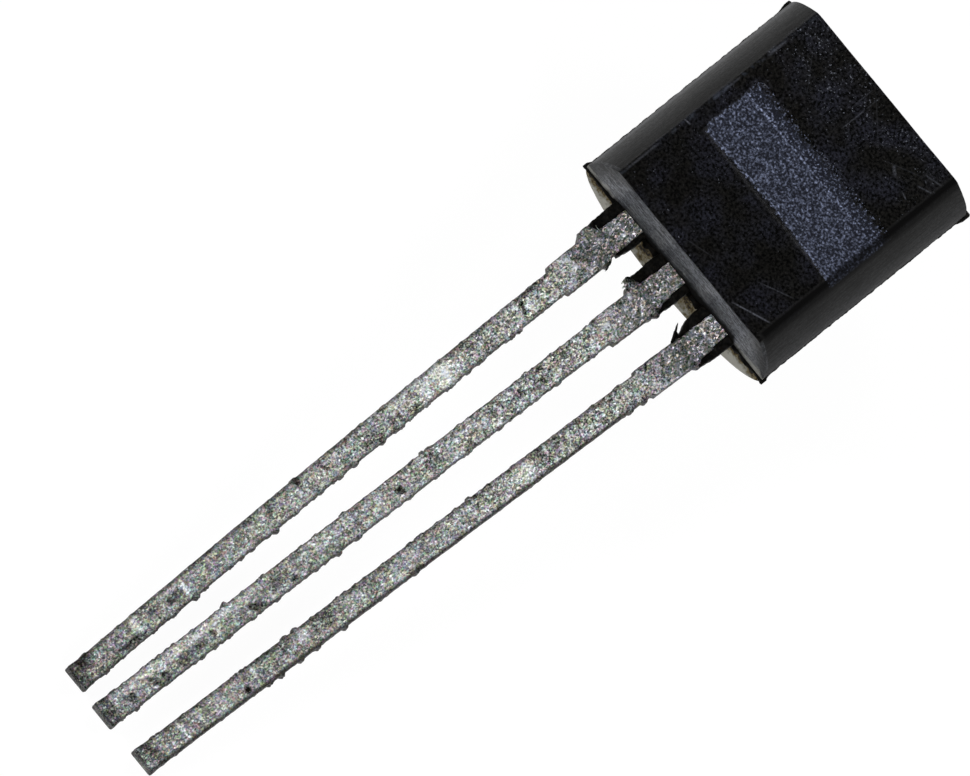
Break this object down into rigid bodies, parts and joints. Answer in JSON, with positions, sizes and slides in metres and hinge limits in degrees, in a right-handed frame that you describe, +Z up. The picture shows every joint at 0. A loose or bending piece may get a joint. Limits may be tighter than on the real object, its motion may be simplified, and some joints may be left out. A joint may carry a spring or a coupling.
{
  "type": "transistor in a three-lead TO-92 package",
  "caption": "Through-hole transistor in a black D-shaped moulding with a flat face, a round back and straight tinned leads, lying on its back with the lead tips down.",
  "frame": {"origin": "on the surface that the part lies on, under the middle of its bounding box", "axes": "+Z up from that surface; +Y along the part from the lead tips to the moulding; +X across the leads to the right, as seen from above with the tips nearest. The package's own axes lean 9.45 degrees about X: its flat face looks up and a little towards the lead tips (-Y)"},
  "size_m": [0.0052, 0.0184, 0.0047],
  "materials": {
    "moulding_resin": "satin",
    "tinned_lead": "matte",
    "silicon": "polished",
    "silver_adhesive": "matte",
    "gold_wire": "polished"
  },
  "bodies": {
    "root": {"body": "moulding_resin", "emitter_lead": "tinned_lead", "collector_lead": "tinned_lead", "base_lead": "tinned_lead", "die": "silicon", "die_attach": "silver_adhesive", "emitter_wire": "gold_wire", "base_wire": "gold_wire"}
  },
  "joints": []
}
